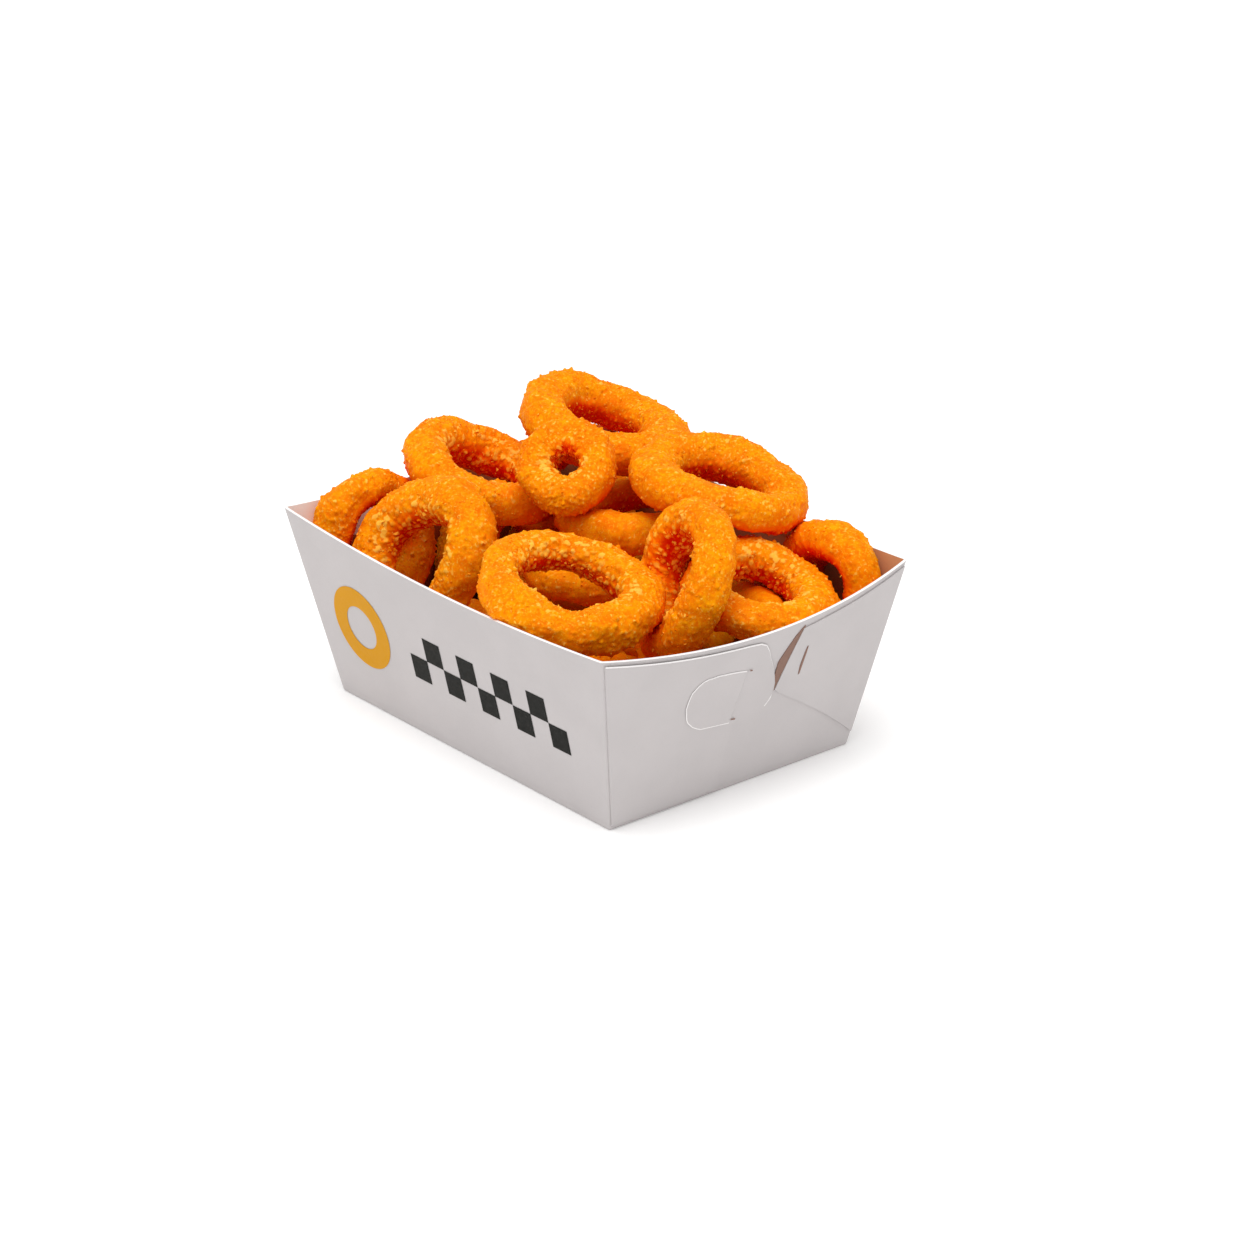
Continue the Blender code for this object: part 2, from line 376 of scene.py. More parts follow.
def hashed(cells, seed):
    """A repeatable number from 0 to 1 for each row of three whole numbers."""
    mixed = cells.astype(np.int64) @ np.array(CELL_PRIMES) + seed * SEED_PRIME
    mixed = (mixed ^ (mixed >> FIRST_SHIFT)) * BIT_MIXER
    mixed ^= mixed >> SECOND_SHIFT
    return (mixed & LOW_BITS) / (LOW_BITS + 1)


def lumps(points, size, seed):
    """Smooth noise from -1 to 1, with lumps of about this size."""
    scaled = points / size
    cell = np.floor(scaled).astype(np.int64)
    part = scaled - cell
    part = part * part * (3 - 2 * part)
    total = np.zeros(len(points))
    for corner in itertools.product((0, 1), repeat=3):
        weight = np.prod(np.where(corner, part, 1 - part), axis=1)
        total += weight * hashed(cell + corner, seed)
    return 2 * total - 1


def crumbs(points, size, seed):
    """Rounded crumbs of about this size: each point's height on its crumb, and the crumb's own number."""
    scaled = points / size
    cell = np.floor(scaled).astype(np.int64)
    nearest = np.full(len(points), np.inf)
    number = np.zeros(len(points))
    for step in itertools.product((-1, 0, 1), repeat=3):
        there = cell + step
        middle = there + np.stack([hashed(there, seed + k) for k in range(3)], axis=1)
        distance = ((scaled - middle) ** 2).sum(axis=1)
        closer = distance < nearest
        nearest = np.where(closer, distance, nearest)
        number = np.where(closer, hashed(there, seed + 3), number)
    return np.clip(1 - nearest / CRUMB_EDGE, 0, 1), number


def varied(points, patches, seed):
    """Smooth noise from -1 to 1 for one of the kinds of patches."""
    size, own_seed = patches
    return lumps(points, size, seed + own_seed)


def quads(index):
    """The four-cornered faces of a grid of point numbers."""
    return np.stack([index[:-1, :-1], index[1:, :-1], index[1:, 1:], index[:-1, 1:]], -1).reshape(-1, 4)


def add_object(name, data):
    """A new object in the scene around this mesh, camera or light."""
    obj = bpy.data.objects.new(name, data)
    bpy.context.scene.collection.objects.link(obj)
    return obj


def make_object(name, points, faces, attributes=None):
    """A new smooth mesh object; attributes are numbers at its points, which its material reads."""
    mesh = bpy.data.meshes.new(name)
    mesh.from_pydata(np.asarray(points).tolist(), [], faces)
    mesh.validate()
    mesh.shade_smooth()
    for key, values in (attributes or {}).items():
        mesh.attributes.new(key, "FLOAT", "POINT").data.foreach_set("value", values.astype(np.float32))
    return add_object(name, mesh)


def weld(obj, facing=None):
    """Join points that coincide and turn the faces outwards, or those of an open sheet to one side."""
    shape = bmesh.new()
    shape.from_mesh(obj.data)
    bmesh.ops.remove_doubles(shape, verts=shape.verts, dist=WELD)
    bmesh.ops.recalc_face_normals(shape, faces=shape.faces)
    if facing is not None and sum(face.normal.dot(facing) for face in shape.faces) < 0:
        bmesh.ops.reverse_faces(shape, faces=shape.faces)
    shape.to_mesh(obj.data)
    shape.free()


class Section:
    """A packed ring's middle line and thickness, as smooth functions of the angle round it."""

    DIGITS = 7
    STOPS = 28
    NEAREST = 16
    OUT_WAVES = 5
    UP_WAVES = 4
    THICK_WAVES = 3

    def __init__(self, node):
        points = np.array([node.matrix_world @ v.co for v in node.data.vertices])
        points = np.unique(np.round(points, self.DIGITS), axis=0)
        self.centre = points.mean(axis=0)
        flat = points - self.centre
        self.across, _, self.axis = np.linalg.svd(flat)[2]
        self.along = np.cross(self.axis, self.across)
        angle = np.arctan2(flat @ self.along, flat @ self.across) % math.tau
        stops = (np.arange(self.STOPS) + 0.5) * math.tau / self.STOPS
        rows = []
        for stop in stops:
            apart = np.abs((angle - stop + math.pi) % math.tau - math.pi)
            near = flat[np.argsort(apart)[: self.NEAREST]]
            along, beside, up = (near @ np.stack([self.across, self.along, self.axis]).T).T
            out = np.hypot(along, beside)
            rows.append((out.mean(), up.mean(), np.hypot(out - out.mean(), up - up.mean()).mean()))
        outs, ups, thicks = np.array(rows).T
        self.out = self.waves(outs, self.OUT_WAVES)
        self.up = self.waves(ups, self.UP_WAVES)
        self.thick = self.waves(thicks, self.THICK_WAVES)
        self.first = stops[0]

    @staticmethod
    def waves(values, most):
        """The first waves of values that are taken at even stops round the ring."""
        found = np.fft.rfft(values) / len(values)
        found[1:] *= 2
        return found[: most + 1]

    def value(self, waves, angle):
        """What these waves add up to at each angle."""
        turns = np.arange(len(waves))
        return (waves * np.exp(1j * np.multiply.outer(angle - self.first, turns))).real.sum(axis=-1)

    def place(self, angle, around, rise=0.0):
        """Points and outward directions at these angles round the ring and round its tube."""
        outward = np.multiply.outer(np.cos(angle), self.across) + np.multiply.outer(np.sin(angle), self.along)
        side = np.cos(around)[..., None] * outward + np.sin(around)[..., None] * self.axis
        powers = np.abs(np.cos(around)) ** SQUARENESS + np.abs(np.sin(around)) ** SQUARENESS
        size = self.value(self.thick, angle) * powers ** (-1 / SQUARENESS) + rise
        out = self.value(self.out, angle)[..., None]
        up = self.value(self.up, angle)[..., None]
        middle = out * outward + up * self.axis
        return self.centre + middle + size[..., None] * side, side


def grid_angles(shape):
    """The angles round a ring and round its tube at each place of a grid of this shape."""
    return np.meshgrid(*[np.arange(count) * math.tau / count for count in shape], indexing="ij")


def sampled(grid, angle, turn):
    """The grid's value at each pair of angles."""
    rows = (angle / math.tau * grid.shape[0]).astype(int) % grid.shape[0]
    columns = (turn / math.tau * grid.shape[1]).astype(int) % grid.shape[1]
    return grid[rows, columns]


def spread(coarse, shape):
    """The coarse grid's values on a finer grid that wraps round both ways."""
    rows = np.arange(shape[0]) * coarse.shape[0] / shape[0]
    columns = np.arange(shape[1]) * coarse.shape[1] / shape[1]
    r0, c0 = rows.astype(int), columns.astype(int)
    fr, fc = (rows - r0)[:, None], (columns - c0)[None]
    r1, c1 = (r0 + 1) % coarse.shape[0], (c0 + 1) % coarse.shape[1]
    top = coarse[np.ix_(r0, c0)] * (1 - fc) + coarse[np.ix_(r0, c1)] * fc
    low = coarse[np.ix_(r1, c0)] * (1 - fc) + coarse[np.ix_(r1, c1)] * fc
    return top * (1 - fr) + low * fr


def solid_tree(nodes):
    """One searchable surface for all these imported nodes."""
    corners = []
    faces = []
    for node in nodes:
        first = len(corners)
        corners += [node.matrix_world @ vertex.co for vertex in node.data.vertices]
        faces += [[first + v for v in face.vertices] for face in node.data.polygons]
    return BVHTree.FromPolygons(corners, faces)


def room(section, shape, others):
    """How far the crust may rise at each place of a grid: half the way to the nearest other ring."""
    places = section.place(*grid_angles(shape))[0].reshape(-1, 3)
    gaps = [others.find_nearest(Vector(place), MOST_ROOM)[3] for place in places]
    return np.array([MOST_ROOM if gap is None else gap / 2 for gap in gaps]).reshape(shape)


def scattered_rays():
    """Directions scattered over a sphere, the same ones each time."""
    draw = random.Random(RAY_SEED)
    rays = []
    while len(rays) < RAYS:
        ray = Vector([draw.uniform(-1, 1) for _ in range(3)])
        if SHORTEST_RAY < ray.length < 1:
            rays.append(ray.normalized())
    return rays


def openness(section, shape, heap):
    """How much light reaches each place of a coarse grid on the ring, about 0 to 1. It is made less on the
    walls of the ring's hole as painted shade, and the crust's colour is painted darker where it is low."""
    angle, turn = grid_angles(shape)
    points, sides = section.place(angle, turn, LIGHT_GAP)
    rays = scattered_rays()
    seen = np.zeros(shape)
    for place in np.ndindex(shape):
        start = Vector(points[place])
        normal = Vector(sides[place])
        light = total = 0.0
        for ray in rays:
            facing = ray.dot(normal)
            way = ray if facing > 0 else -ray
            total += abs(facing)
            distance = heap.ray_cast(start, way, REACH)[3]
            free = 1 if distance is None else PAST_A_RING * distance / REACH
            sky = FROM_BELOW if way.z < 0 else SKY_EDGE + (SKY_TOP - SKY_EDGE) * way.z
            light += abs(facing) * free * sky
        inner = max(0.0, -math.cos(turn[place]))
        faces_down = min(1.0, max(0.0, FACES_UP - normal.z))
        seen[place] = light / total * (1 - INNER_SHADE * inner * faces_down)
    return seen


def wall_half(side, height):
    """Half the tray's width between its corners at this height: side 0 is along X and side 1 along Y."""
    return BASE_HALF[side] + (TOP_HALF[side] - BASE_HALF[side]) * height / TRAY_HEIGHT


def wall_lean(side, along):
    """How far out a wall goes for each metre up: side 0 is an end wall and side 1 a long one, and along
    is a place from -1 at one corner to 1 at the other."""
    return (TOP_HALF[side] - BASE_HALF[side] + BOW[side] * (1 - along * along)) / TRAY_HEIGHT


def rim_height(side, along):
    """The rim's height at a place along a wall."""
    return TRAY_HEIGHT - DIP[side] * (1 - along * along)


def wall_point(side, sign, along, up, out=0.0):
    """A point of a wall's outer face: up is a share of the rim's height there, and out is a distance
    off the face."""
    height = up * rim_height(side, along)
    point = [0.0, 0.0, height]
    point[side] = sign * (BASE_HALF[side] + wall_lean(side, along) * height + out)
    point[1 - side] = along * wall_half(1 - side, height)
    return Vector(point)


def inside_tray(points):
    """The same points, with those that would stick through the board brought back inside it."""
    x, y, z = points.T
    kept = points.copy()
    kept[:, 2] = np.maximum(z, BOARD + CLEAR_OF_BOARD)
    for side, ahead, other in ((0, x, y), (1, y, x)):
        along = np.clip(other / wall_half(1 - side, z), -1, 1)
        most = BASE_HALF[side] + wall_lean(side, along) * z - BOARD * LEVEL_BOARD - CLEAR_OF_BOARD
        below_rim = z < rim_height(side, along)
        kept[:, side] = np.where(below_rim, np.clip(ahead, -most, most), ahead)
    return kept


def pale_tone(number):
    """The tone of a pale crumb, by its number."""
    return PALE_TONE + (1 - PALE_TONE) * number


def swell(points, seed):
    """How far the crust's broad unevenness stands out at each point, in metres."""
    out = np.full(len(points), CRUST_PROUD)
    for size, height, own_seed in LUMPS:
        out += height * lumps(points, size, seed + own_seed)
    return out


def crust_surface(section, shape, seen, free, seed, coarse):
    """The crumbed surface of one ring: points, faces and what its material reads."""
    angle, turn = grid_angles(shape)
    base, side = section.place(angle, turn)
    flat = base.reshape(-1, 3)
    rise = swell(flat, seed)
    rough = np.clip(MEAN_ROUGHNESS + ROUGHNESS_CHANGE * varied(flat, ROUGH_PATCHES, seed), *ROUGHNESS_LIMITS)
    tone = np.zeros(len(flat))
    relief = np.zeros(len(flat))
    for size, height, own_seed in CRUMBS:
        up, own = crumbs(flat, size, seed + own_seed)
        up *= LOWEST_CRUMB + (1 - LOWEST_CRUMB) * own
        rise += height * up * rough
        relief += up / len(CRUMBS)
        tone = np.where(up > ON_A_CRUMB, own, tone)

    size, height, own_seed = RIDGES
    broken = np.clip(RIDGE_BREAK * varied(flat, RIDGE_BREAKS, seed), 0, 1)
    ridge = np.clip(1 - np.abs(lumps(flat, size, seed + own_seed)) / RIDGE_WIDTH, 0, 1) * broken
    rise += height * ridge * rough
    relief = np.maximum(relief, RIDGE_RELIEF * ridge)
    # Painted highlight: ridge tops are made pale
    tone = np.maximum(tone, RIDGE_HIGHLIGHT * ridge)

    size, height, own_seed = POINTED_CRUMBS
    up, own = crumbs(flat, size, seed + own_seed)
    pointed = np.clip((up - POINT_FROM) / (1 - POINT_FROM), 0, 1) ** 2 * (own > POINTED_NUMBER)
    rise += height * pointed * rough
    relief = np.maximum(relief, pointed)

    if coarse:
        size, height, own_seed = COARSE_CRUMBS
        patch = COARSE_BY_PATCH * varied(flat, COARSE_PATCHES, seed)
        inner = np.clip(patch - COARSE_INWARDS * np.cos(turn).reshape(-1) + COARSE_ANYWHERE, 0, 1)
        up, own = crumbs(flat, size, seed + own_seed)
        up = np.clip(COARSE_STEEPNESS * up, 0, 1) * (own > COARSE_NUMBER)
        rise += height * up * inner
        relief = np.maximum(relief, up * inner)
        tone = np.where(up * inner > COARSE_EDGE, pale_tone(own), tone)

    rise = np.minimum(rise, spread(free, shape).reshape(-1))
    points = inside_tray(flat + rise[:, None] * side.reshape(-1, 3))
    index = np.arange(len(flat)).reshape(shape)
    faces = quads(np.pad(index, (0, 1), mode="wrap"))
    return points, faces, {"painted_light": spread(seen, shape).reshape(-1), "tone": tone, "relief": relief}


def crust_flakes(section, seen, free, seed, layer, count, lengths, inner_only):
    """Loose-edged crumbs, each a small uneven octahedron half sunk in the crust."""
    draw = np.random.default_rng(seed + layer)
    angle = draw.uniform(0, math.tau, count)
    turn = draw.uniform(0, math.tau, count)
    patch = varied(section.place(angle, turn)[0], FLAKE_PATCHES, seed + layer)
    keep = patch > draw.uniform(*FLAKES_KEPT, count)
    if inner_only:
        keep &= np.cos(turn) < draw.uniform(*INNER_FLAKES_KEPT, count)
    keep &= sampled(free, angle, turn) > FLAKE_ROOM
    angle, turn = angle[keep], turn[keep]
    rise = swell(section.place(angle, turn)[0], seed) + FLAKE_RISE
    centres, normals = section.place(angle, turn, rise)
    kept = len(centres)
    length = lengths[0] + (lengths[1] - lengths[0]) * draw.random(kept) ** FLAKE_SHORTNESS
    tangent = np.cross(normals, draw.normal(size=(kept, 3)))
    tangent += FLAKE_TILT * normals * draw.normal(size=(kept, 1))
    tangent /= np.linalg.norm(tangent, axis=1, keepdims=True)
    other = np.cross(normals, tangent)
    other /= np.linalg.norm(other, axis=1, keepdims=True)
    third = np.cross(tangent, other)
    corners = []
    for direction, share in zip((tangent, other, third), FLAKE_SIZES):
        for sign in (1, -1):
            size = length * share * draw.uniform(*FLAKE_CHANGE, kept)
            stray = draw.normal(scale=FLAKE_STRAY, size=(kept, 3)) * length[:, None]
            corners.append(centres + sign * size[:, None] * direction + stray)
    points = inside_tray(np.stack(corners, axis=1).reshape(-1, 3))
    faces = np.arange(kept)[:, None, None] * FLAKE_CORNERS + np.array(FLAKE_FACES)[None]
    return points, faces.reshape(-1, 3), {
        "painted_light": np.repeat(sampled(seen, angle, turn), FLAKE_CORNERS),
        "tone": np.repeat(pale_tone(draw.random(kept)), FLAKE_CORNERS),
        "relief": np.ones(kept * FLAKE_CORNERS),
    }


def fineness(name):
    """How finely this ring is made, by how much of it the heap shows."""
    if name in SHOWN_RINGS:
        return SHOWN
    if name in PARTLY_SHOWN_RINGS:
        return PARTLY_SHOWN
    return HIDDEN


def dress_ring(node, others, heap, material, seed):
    """A crust for one ring, with its loose crumbs in the same piece."""
    name = node.name
    section = Section(node)
    seen = openness(section, LIGHT_GRID, heap)
    free = room(section, ROOM_GRID, others)
    shape = fineness(name)
    points, faces, values = crust_surface(section, shape, seen, free, seed, name in COARSE_RINGS)
    all_faces = faces.tolist()
    area = math.tau**2 * section.out[0].real * section.thick[0].real * shape[0] / SHOWN[0]
    layers = [(FLAKES_PER_AREA, FLAKE_LENGTHS, False)]
    if name in COARSE_RINGS:
        layers.append((COARSE_FLAKES_PER_AREA, COARSE_FLAKE_LENGTHS, True))
    for layer, (density, lengths, inner_only) in enumerate(layers):
        flakes = crust_flakes(section, seen, free, seed, layer, int(area * density), lengths, inner_only)
        all_faces += (flakes[1] + len(points)).tolist()
        points = np.concatenate([points, flakes[0]])
        values = {key: np.concatenate([values[key], flakes[2][key]]) for key in values}
    crust = make_object("crust_" + name.removeprefix("ring_"), points, all_faces, values)
    crust.data.polygons.foreach_set("use_smooth", np.arange(len(all_faces)) < len(faces))
    crust.data.materials.append(material)
    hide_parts(name)
    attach(crust, "root")


class Nodes:
    """Short ways to add and link the nodes of one material."""

    def __init__(self, name):
        self.material = bpy.data.materials.new(name)
        self.material.use_nodes = True
        self.tree = self.material.node_tree
        self.shader = self.tree.nodes["Principled BSDF"]
        self.place = self.add("ShaderNodeTexCoord").outputs["Object"]

    def add(self, kind, **settings):
        node = self.tree.nodes.new(kind)
        for key, value in settings.items():
            setattr(node, key, value)
        return node

    def link(self, source, target):
        self.tree.links.new(source, target)

    def attribute(self, name):
        return self.add("ShaderNodeAttribute", attribute_name=name).outputs["Fac"]

    def noise(self, scale, detail=3.0, roughness=0.5):
        node = self.add("ShaderNodeTexNoise")
        node.inputs["Scale"].default_value = scale
        node.inputs["Detail"].default_value = detail
        node.inputs["Roughness"].default_value = roughness
        self.link(self.place, node.inputs["Vector"])
        return node.outputs["Fac"]

    def ramp(self, value, low, high, start=0.0, end=1.0):
        """Value from low to high becomes start to end, smoothly."""
        node = self.add("ShaderNodeMapRange", interpolation_type="SMOOTHSTEP")
        self.link(value, node.inputs["Value"])
        for key, number in (("From Min", low), ("From Max", high), ("To Min", start), ("To Max", end)):
            node.inputs[key].default_value = number
        return node.outputs["Result"]

    def times(self, first, second):
        """Two values multiplied; the second may be a number."""
        node = self.add("ShaderNodeMath", operation="MULTIPLY")
        self.link(first, node.inputs[0])
        if isinstance(second, float):
            node.inputs[1].default_value = second
        else:
            self.link(second, node.inputs[1])
        return node.outputs["Value"]

    def mix(self, share, first, second):
        """The first colour where share is 0 and the second where it is 1."""
        node = self.add("ShaderNodeMix", data_type="RGBA")
        self.link(share, node.inputs[MIX_SHARE])
        for socket, colour in ((MIX_FIRST, first), (MIX_SECOND, second)):
            if isinstance(colour, tuple):
                node.inputs[socket].default_value = (*colour, 1.0)
            else:
                self.link(colour, node.inputs[socket])
        return node.outputs[MIX_RESULT]

    def bump(self, height, distance, strength):
        node = self.add("ShaderNodeBump")
        node.inputs["Distance"].default_value = distance
        node.inputs["Strength"].default_value = strength
        self.link(height, node.inputs["Height"])
        self.link(node.outputs["Normal"], self.shader.inputs["Normal"])

    def feed(self, name, source):
        """Link a node to one of the shader's own inputs."""
        self.link(source, self.shader.inputs[name])

    def fix(self, name, value):
        """Set one of the shader's own inputs to a constant."""
        self.shader.inputs[name].default_value = value


def crust_material():
    """Fried crumb: golden where open, painted deep red in the hollows and darker between crumbs as painted
    shade, with small pale crumbs that are partly painted highlights.
    """
    made = Nodes("fried_crumb")
    painted_light_mask = made.attribute("painted_light")
    relief = made.attribute("relief")
    tone = made.attribute("tone")
    patches = made.mix(made.ramp(made.noise(110), 0.35, 0.68), ORANGE, GOLDEN)
    browner = made.mix(made.ramp(made.noise(240), 0.50, 0.68, 0, 0.6), patches, BROWNER)
    # Painted shade between crumbs: the low places are painted darker
    valley_shade = made.mix(made.ramp(relief, 0.02, 0.24, 0.6, 0), browner, VALLEY_SHADE)
    mottled = made.mix(made.ramp(made.noise(700), 0.40, 0.58, 0.45, 0), valley_shade, MOTTLE)
    grain = made.mix(made.ramp(made.noise(1700, 2.0), 0.57, 0.67, 0, 0.6), mottled, GRAIN)
    # Pale crumbs only on raised places: partly their own colour, partly painted highlights
    pale = made.times(made.ramp(tone, 0.76, 0.94), made.ramp(relief, 0.2, 0.55))
    flecked = made.mix(made.times(pale, 0.75), grain, PALE)
    high = made.ramp(relief, 0.25, 0.8, 0, 0.75)
    # Painted shade: the crust is painted from golden through orange to deep red where less light reaches it
    shade = made.mix(made.ramp(painted_light_mask, 0.08, 0.27), made.mix(high, *DEEP_SHADE), made.mix(high, *HALF_SHADE))
    mixed = made.mix(made.ramp(painted_light_mask, 0.21, 0.47), shade, flecked)
    # Loose crumbs and tips are paler: partly their own colour, partly painted highlights
    loose = made.times(made.ramp(tone, 0.74, 0.88), made.ramp(relief, 0.90, 0.98, 0, 0.8))
    made.feed("Base Color", made.mix(loose, mixed, LOOSE))
    made.feed("Roughness", made.ramp(made.noise(900), 0.3, 0.7, 0.42, 0.62))
    made.fix("Specular IOR Level", 0.02)
    made.bump(made.noise(2200, 2.0, 0.6), 0.0002, 0.4)
    return made.material


def board_material(name, colour, speck, roughness, low=None):
    """Paperboard with a faint mottle and fibre; low is its colour down inside the tray, if another, which
    is painted shade.
    """
    made = Nodes(name)
    darker = tuple(MOTTLED_BOARD * part for part in colour)
    mottle = made.mix(made.ramp(made.noise(60), 0.3, 0.7), colour, darker)
    if low:
        place = made.add("ShaderNodeSeparateXYZ")
        made.link(made.place, place.inputs[0])
        # Painted shade: darker low down inside the tray
        mottle = made.mix(made.ramp(place.outputs["Z"], *PAINTED_SHADE_HEIGHTS), low, mottle)
    fibre = made.mix(made.ramp(made.noise(1400, 4.0, 0.6), 0.55, 0.75, 0, 0.5), mottle, speck)
    span = (roughness - ROUGHNESS_SPAN, roughness + ROUGHNESS_SPAN)
    made.feed("Base Color", fibre)
    made.feed("Roughness", made.ramp(made.noise(700), 0.3, 0.7, *span))
    made.fix("Specular IOR Level", 0.06)
    made.bump(made.noise(900, 4.0, 0.6), 0.0001, 0.25)
    return made.material


def finish_board(piece, material):
    """Give a piece that replaces no node its material and its body."""
    piece.data.materials.append(material)
    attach(piece, "root")


def refined(path):
    """The columns of a path's table, with STEPS points to each stretch between its own."""
    marks = np.linspace(0, len(path) - 1, (len(path) - 1) * STEPS + 1)
    return [np.interp(marks, np.arange(len(path)), column) for column in zip(*path)]


def add_plate(name, outline, inner, outer, curl, sign, material):
    """A thin plate lying along an end wall, from one distance off its face to another. Its last end
    stands off a little more by curl."""
    points = []
    for face in (outer, inner):
        for along, low, high in zip(*refined(outline)):
            lift = face + curl * max(0.0, 1 - abs(along - outline[-1][0]) / CURL_REACH) ** 2
            for row in range(PLATE_ROWS + 1):
                up = low + (high - low) * row / PLATE_ROWS
                points.append(wall_point(0, sign, sign * along, up, lift))
    index = np.arange(len(points)).reshape(2, -1, PLATE_ROWS + 1)
    sheets = (index[0], index[:, 0].T, index[:, :, -1].T)
    turned = (index[1], index[:, -1].T, index[:, :, 0].T)
    faces = [quads(sheet) for sheet in sheets] + [quads(sheet)[:, ::-1] for sheet in turned]
    plate = make_object(name, points, np.concatenate(faces).tolist())
    weld(plate)
    plate.modifiers.new("edges", "EDGE_SPLIT").split_angle = math.radians(SHARP_PLATE_ANGLE)
    finish_board(plate, material)


def add_line(name, path, out, sign, material):
    """A low ridge along a path on an end wall."""
    middle = np.array([wall_point(0, sign, sign * along, up, out) for along, up in zip(*refined(path))])
    beside = np.cross(np.gradient(middle, axis=0), (1.0, 0.0, 0.0))
    beside *= 0.5 * LINE_WIDTH / np.linalg.norm(beside, axis=1, keepdims=True)
    ridge = middle + np.array((sign * LINE_RISE * LINE_WIDTH, 0.0, 0.0))
    points = np.stack([middle - beside, ridge, middle + beside], axis=1).reshape(-1, 3)
    faces = quads(np.arange(len(points)).reshape(-1, 3))
    line = make_object(name, points, (faces if sign > 0 else faces[:, ::-1]).tolist())
    finish_board(line, material)


def add_flaps(boards):
    """The plates and lines on both end walls."""
    for sign, end in ((1, "right"), (-1, "left")):
        for name, (outline, inner, outer, curl, board) in PLATES.items():
            add_plate(f"{name}_{end}", outline, inner, outer, curl, sign, boards[board])
        for name, (path, out, board) in LINES.items():
            add_line(f"{name}_{end}", path, out, sign, boards[board])
        for number, notch in enumerate(NOTCHES, 1):
            add_line(f"notch_{end}_{number}", notch, NOTCH_OUT, sign, boards["slot_shade"])


def tray_blank():
    """The outer face of the tray as a mesh, bent from a box without its top."""
    shape = bmesh.new()
    bmesh.ops.create_cube(shape, size=2.0)
    ends = [face for face in shape.faces if abs(face.normal.z) > FACING]
    bmesh.ops.delete(shape, geom=ends, context="FACES_ONLY")
    level = [line for line in shape.edges if line.is_boundary]
    bmesh.ops.subdivide_edges(shape, edges=level, cuts=WALL_CUTS, use_grid_fill=True)
    upright = [line for line in shape.edges if not line.is_boundary]
    bmesh.ops.subdivide_edges(shape, edges=upright, cuts=HEIGHT_CUTS, use_grid_fill=True)
    places = np.array([vertex.co for vertex in shape.verts])
    fade = np.clip(1 - np.minimum(*np.abs(places[:, :2]).T) ** WARP_FADE, 0, 1)
    bend = lumps(places, WARP_SIZE, WARP_SEED) * fade
    for vertex, (x, y, z), warp in zip(shape.verts, places, bend):
        side = 0 if abs(x) > abs(y) else 1
        sign = math.copysign(1, (x, y)[side])
        up = (z + 1) / 2
        is_corner = math.isclose(abs(x), abs(y), abs_tol=1e-6)
        is_printed = side == 1 and sign < 0
        out = 0.0 if is_corner or is_printed else WARP * warp * up
        vertex.co = wall_point(side, sign, (x, y)[1 - side], up, out)
    foot = [line for line in shape.edges if line.is_boundary and line.verts[0].co.z < BOARD]
    bmesh.ops.contextual_create(shape, geom=foot)
    bmesh.ops.recalc_face_normals(shape, faces=shape.faces)
    mesh = bpy.data.meshes.new("tray_blank")
    shape.to_mesh(mesh)
    shape.free()
    return mesh


def add_tray(white, brown, edge):
    """The folded blank: white outside, brown inside, with a cut edge that shows at the rim."""
    mesh = tray_blank()
    for material in (white, brown, edge):
        mesh.materials.append(material)
    blank = add_object("tray_blank", mesh)
    fold = blank.modifiers.new("folds", "BEVEL")
    fold.width = FOLD_WIDTH
    fold.segments = FOLD_SEGMENTS
    fold.limit_method = "ANGLE"
    fold.angle_limit = math.radians(FOLD_ANGLE)
    board = blank.modifiers.new("board", "SOLIDIFY")
    board.thickness = BOARD
    board.offset = -1.0
    board.use_even_offset = True
    board.material_offset = INSIDE
    board.material_offset_rim = CUT
    graph = bpy.context.evaluated_depsgraph_get()
    solid = bpy.data.meshes.new_from_object(blank.evaluated_get(graph))
    blank.modifiers.clear()
    blank.data = solid
    solid.name = "tray_blank"
    for face in solid.polygons:
        x, y, z = face.center
        along = math.copysign(y, x * y) / wall_half(1, z)
        turned_in = along > WHITE_INSIDE_FROM[0] and z > WHITE_INSIDE_FROM[1] * rim_height(0, along)
        if face.material_index == INSIDE and turned_in and abs(face.normal.x) > FACING:
            face.material_index = CUT
    solid.shade_smooth()
    blank.modifiers.new("edges", "EDGE_SPLIT").split_angle = math.radians(SHARP_TRAY_ANGLE)
    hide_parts("tray")
    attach(blank, "root")


def on_print_wall(x, z):
    """The point of the print at this X and Z on the outer face of the long wall."""
    along = x / wall_half(0, z)
    return wall_point(1, -1, along, z / rim_height(1, along), PRINT_LIFT)


def add_print(name, grids, material):
    """One printed piece made of grids, each a list of rows of places along X and Z."""
    points = []
    faces = []
    for grid in grids:
        index = len(points) + np.arange(len(grid) * len(grid[0])).reshape(len(grid), -1)
        points += [on_print_wall(x, z) for row in grid for x, z in row]
        faces += quads(index).tolist()
    piece = make_object(name, points, faces)
    weld(piece, Vector((0, -1, 0)))
    finish_board(piece, material)


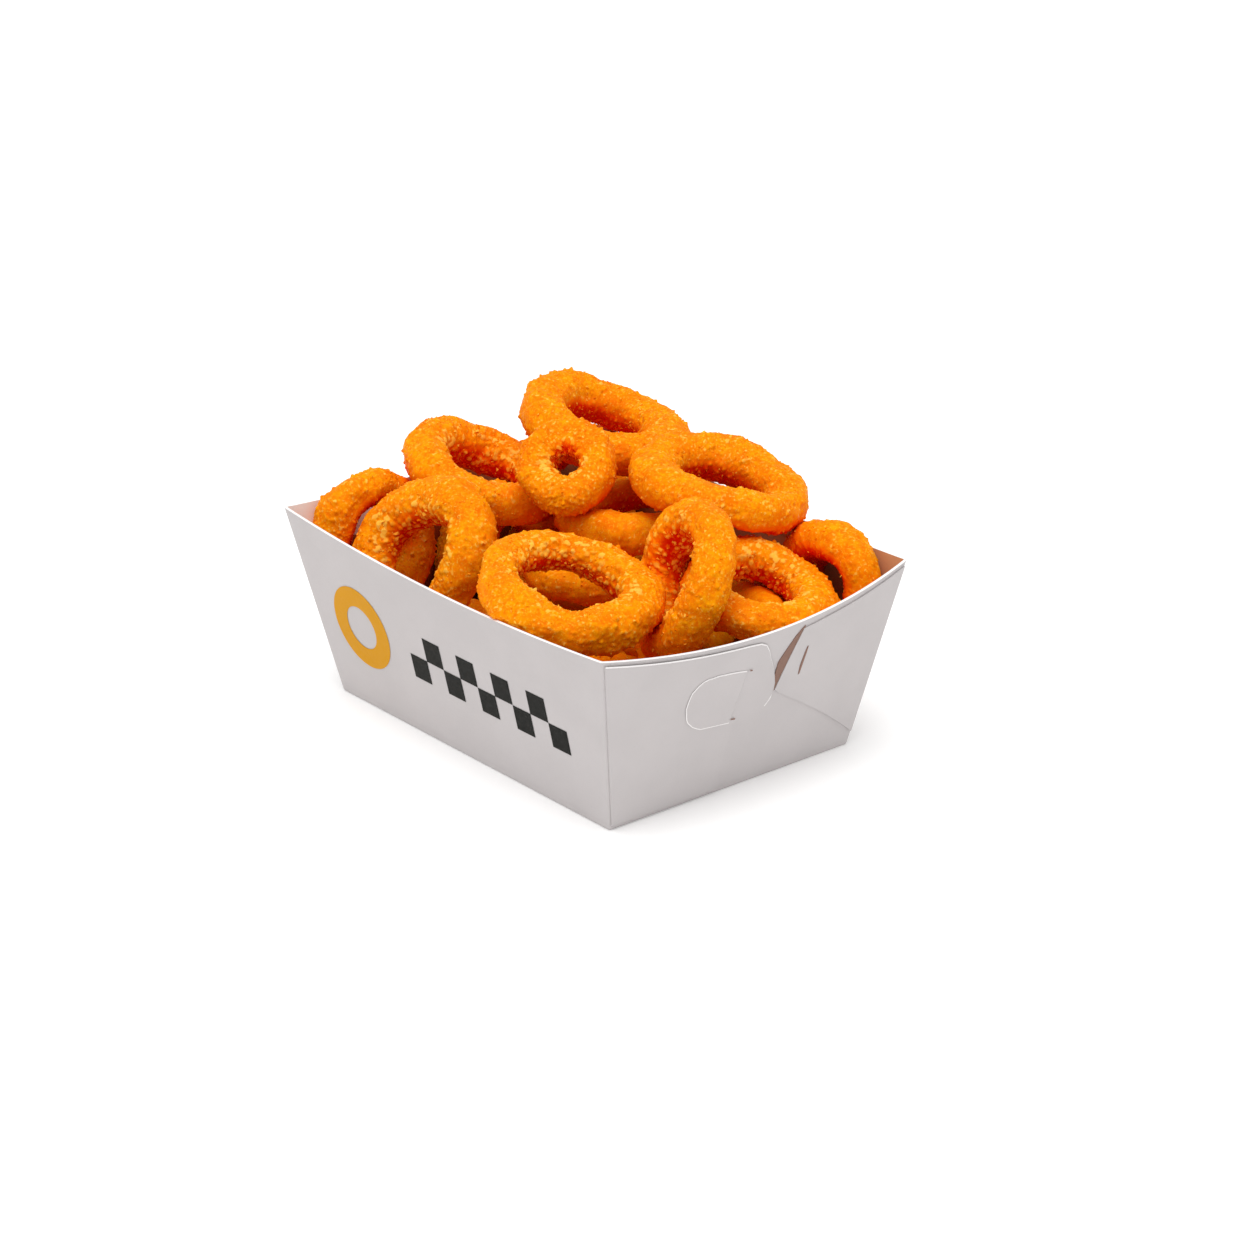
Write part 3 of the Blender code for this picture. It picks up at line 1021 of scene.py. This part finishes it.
def add_prints(gold, black):
    """The gold ring and the band of black squares."""
    turns = [math.tau * step / GOLD_RING["sides"] for step in range(GOLD_RING["sides"] + 1)]
    radii = np.linspace(GOLD_RING["inner"], GOLD_RING["outer"], GOLD_RING["bands"] + 1)
    ring = [
        [(GOLD_RING["x"] + radius * math.cos(t), GOLD_RING["z"] + radius * math.sin(t)) for t in turns]
        for radius in radii
    ]
    add_print("printed_ring", [ring], gold)
    side = SQUARES["side"]
    steps = [side * step / SQUARES["parts"] for step in range(SQUARES["parts"] + 1)]
    squares = []
    for row, column in itertools.product(range(SQUARES["rows"]), range(SQUARES["columns"])):
        if (row + column) % 2 == 0:
            x = SQUARES["x"] + column * side
            z = SQUARES["z"] + row * side
            squares.append([[(x + right, z + up) for right in steps] for up in steps])
    add_print("printed_squares", squares, black)


def towards(azimuth, elevation):
    """The direction from the object to a camera or light at these angles, in degrees."""
    turn, rise = math.radians(azimuth), math.radians(elevation)
    return Vector((math.sin(turn) * math.cos(rise), -math.cos(turn) * math.cos(rise), math.sin(rise)))


def add_camera():
    """The photo's own view."""
    turn = math.radians(CAMERA_AZIMUTH)
    back = towards(CAMERA_AZIMUTH, CAMERA_ELEVATION)
    right = Vector((math.cos(turn), math.sin(turn), 0))
    up = back.cross(right)
    data = bpy.data.cameras.new("camera")
    data.sensor_width = SENSOR_WIDTH
    data.lens = CAMERA_FOCAL_PIXELS * SENSOR_WIDTH / PHOTO_SIZE
    camera = add_object("camera", data)
    camera.location = right * CAMERA_AIM[0] + up * CAMERA_AIM[1] + back * CAMERA_DISTANCE
    camera.rotation_euler = Matrix((right, up, back)).transposed().to_euler()
    bpy.context.scene.camera = camera


def add_sun():
    """A broad soft light from overhead."""
    data = bpy.data.lights.new("overhead", "SUN")
    data.angle = math.radians(SUN_WIDTH)
    data.energy = SUN_STRENGTH
    light = add_object("overhead", data)
    light.rotation_euler = towards(SUN_AZIMUTH, SUN_ELEVATION).to_track_quat("Z", "Y").to_euler()


def add_studio():
    """A pale floor, an even white sky and the sun."""
    corners = [(x * FLOOR_HALF, y * FLOOR_HALF, 0) for x, y in ((-1, -1), (1, -1), (1, 1), (-1, 1))]
    floor = make_object("floor", corners, [(0, 1, 2, 3)])
    made = Nodes("studio_floor")
    made.feed("Base Color", made.mix(made.ramp(made.noise(4), 0.3, 0.7), *FLOOR_COLOURS))
    made.fix("Roughness", 0.9)
    made.fix("Specular IOR Level", 0.1)
    made.fix("Emission Color", WHITE)
    made.fix("Emission Strength", FLOOR_GLOW)
    floor.data.materials.append(made.material)
    world = bpy.data.worlds.new("studio")
    world.use_nodes = True
    sky = world.node_tree.nodes["Background"]
    sky.inputs["Color"].default_value = WHITE
    sky.inputs["Strength"].default_value = SKY_STRENGTH
    bpy.context.scene.world = world
    add_sun()
    bpy.context.scene.view_settings.view_transform = "Standard"


def main():
    """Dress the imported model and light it."""
    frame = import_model()
    add_camera()
    add_studio()
    boards = {name: board_material(name, *looks) for name, looks in BOARDS.items()}
    add_tray(boards["white_board"], boards["brown_board"], boards["cut_edge"])
    add_flaps(boards)
    add_prints(boards["gold_ink"], boards["black_ink"])
    rings = [node for name, node in sorted(frame["nodes"].items()) if name.startswith("ring_")]
    heap = solid_tree(rings)
    crust = crust_material()
    for number, ring in enumerate(rings, 1):
        others = solid_tree(other for other in rings if other != ring)
        dress_ring(ring, others, heap, crust, SEED_STEP * number)


main()
